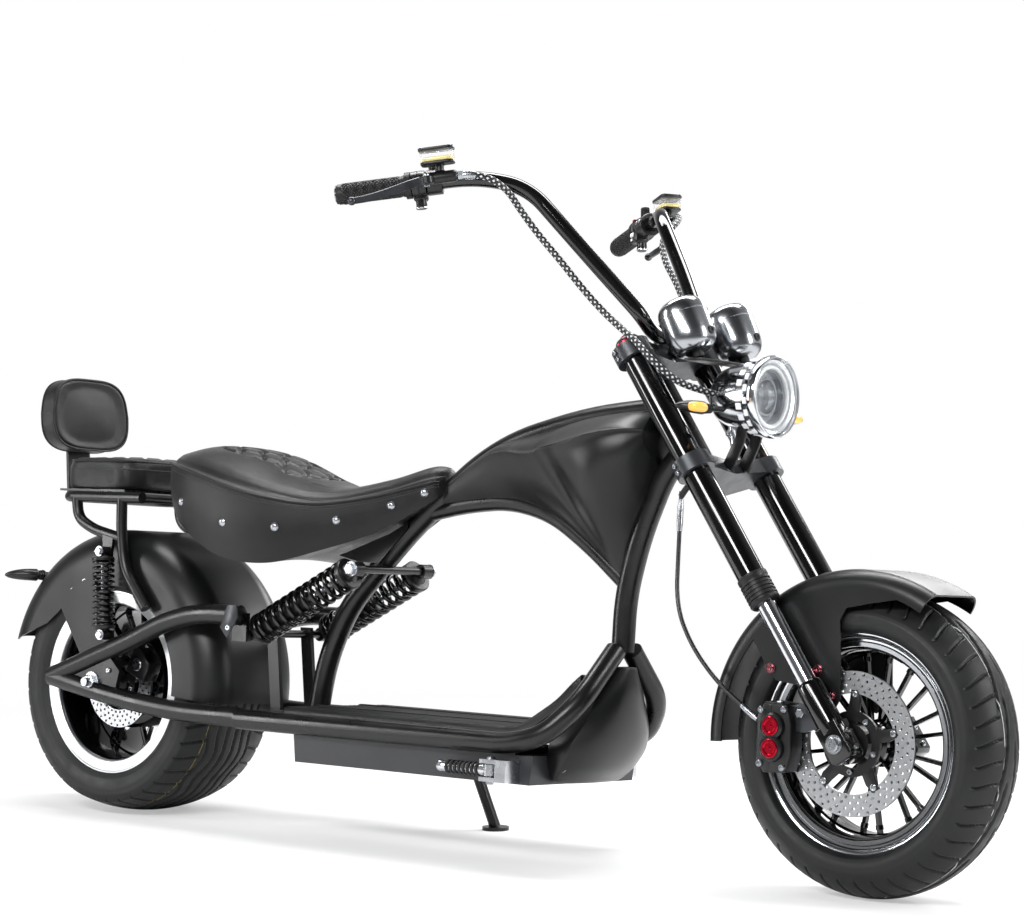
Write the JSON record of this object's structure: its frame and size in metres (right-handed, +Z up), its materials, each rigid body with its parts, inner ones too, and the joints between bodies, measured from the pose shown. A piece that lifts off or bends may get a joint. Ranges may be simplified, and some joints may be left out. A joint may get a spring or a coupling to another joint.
{
  "type": "electric chopper scooter",
  "caption": "Low electric chopper scooter with a raked fork, high handlebar, deck, saddle, pillion pad with backrest and wide tyres, leaning on its side stand.",
  "frame": {"origin": "middle of the machine's footprint box, on the floor that both tyres and the side stand rest on", "axes": "+X forward, +Y to the machine's left, the side it leans to, +Z up from the floor"},
  "size_m": [2.1109, 0.8222, 1.1646],
  "materials": {
    "frame_paint": "satin",
    "cover_paint": "matt",
    "gloss_black": "gloss",
    "chrome": "polished",
    "cast_black": "satin",
    "disc_steel": "brushed",
    "bolt_steel": "satin",
    "tyre_rubber": "matt",
    "mat_rubber": "ribbed",
    "grip_rubber": "matt",
    "battery_case": "satin",
    "leather": "stitched",
    "spring_black": "gloss",
    "peg_alloy": "polished",
    "switch_plastic": "fine texture",
    "reservoir_plastic": "clear",
    "lamp_lens": "clear",
    "amber_lens": "gloss",
    "red_lens": "gloss",
    "hose_rubber": "satin"
  },
  "bodies": {
    "frame": {"frame_tubes": "frame_paint", "tank_cover": "cover_paint", "deck_frame": "frame_paint", "deck_mat": "mat_rubber", "battery_box": "battery_case", "chin_cover": "cover_paint", "seat": "leather", "seat_bracket": "frame_paint", "main_springs": "spring_black", "small_springs": "spring_black", "swingarm": "frame_paint", "rear_axle": "bolt_steel", "rear_fender": "cover_paint", "rack": "frame_paint", "pillion_base": "frame_paint", "pillion_pad": "leather", "backrest": "leather", "tail_lamp": "red_lens", "rear_indicators": "switch_plastic", "rear_caliper": "cast_black", "stand_bracket": "frame_paint", "peg_brackets": "peg_alloy"},
    "rear_wheel": {"rear_tyre": "tyre_rubber", "rear_rim": "cast_black", "rear_disc": "disc_steel"},
    "front_wheel": {"front_tyre": "tyre_rubber", "front_rim": "cast_black", "front_disc": "disc_steel"},
    "steering": {"lower_clamp": "gloss_black", "upper_clamp": "gloss_black", "fork_tubes": "gloss_black", "fork_legs": "chrome", "front_axle": "bolt_steel", "front_fender": "cover_paint", "front_caliper": "cast_black", "brake_hose": "hose_rubber", "handlebar": "gloss_black", "grips": "grip_rubber", "brake_controls": "switch_plastic", "reservoirs": "reservoir_plastic", "switch_pods": "switch_plastic", "gauge_pods": "chrome", "headlamp_shell": "chrome", "headlamp_lens": "lamp_lens", "front_bracket": "frame_paint", "front_indicators": "amber_lens", "cable_sleeves": "hose_rubber"},
    "stand": {"side_stand": "frame_paint"},
    "peg_left_fold": {"peg_left": "peg_alloy"},
    "peg_right_fold": {"peg_right": "peg_alloy"}
  },
  "joints": [
    {"name": "steering_turn", "type": "hinge", "parent": "frame", "child": "steering", "pos_m": [0.43017, -0.02386, 0.71216], "axis": [-0.5736, 0.0543, 0.8174], "range_deg": [-30, 30]},
    {"name": "front_wheel_spin", "type": "hinge", "parent": "steering", "child": "front_wheel", "pos_m": [0.8195, -0.05551, 0.23565], "axis": [0, 0.9978, -0.0663], "continuous": true},
    {"name": "rear_wheel_spin", "type": "hinge", "parent": "frame", "child": "rear_wheel", "pos_m": [-0.7595, -0.05534, 0.23814], "axis": [0, 0.9978, -0.0663], "continuous": true},
    {"name": "side_stand_fold", "type": "hinge", "parent": "frame", "child": "stand", "pos_m": [-0.1195, 0.11054, 0.14027], "axis": [0, 0.981, 0.1942], "range_deg": [0, 105]},
    {"name": "left_peg_fold", "type": "hinge", "parent": "frame", "child": "peg_left_fold", "pos_m": [0.2025, 0.10455, 0.14066], "axis": [0, -0.0663, -0.9978], "range_deg": [0, 90]},
    {"name": "right_peg_fold", "type": "hinge", "parent": "frame", "child": "peg_right_fold", "pos_m": [0.2025, -0.22672, 0.16267], "axis": [0, 0.0663, 0.9978], "range_deg": [0, 90]}
  ]
}
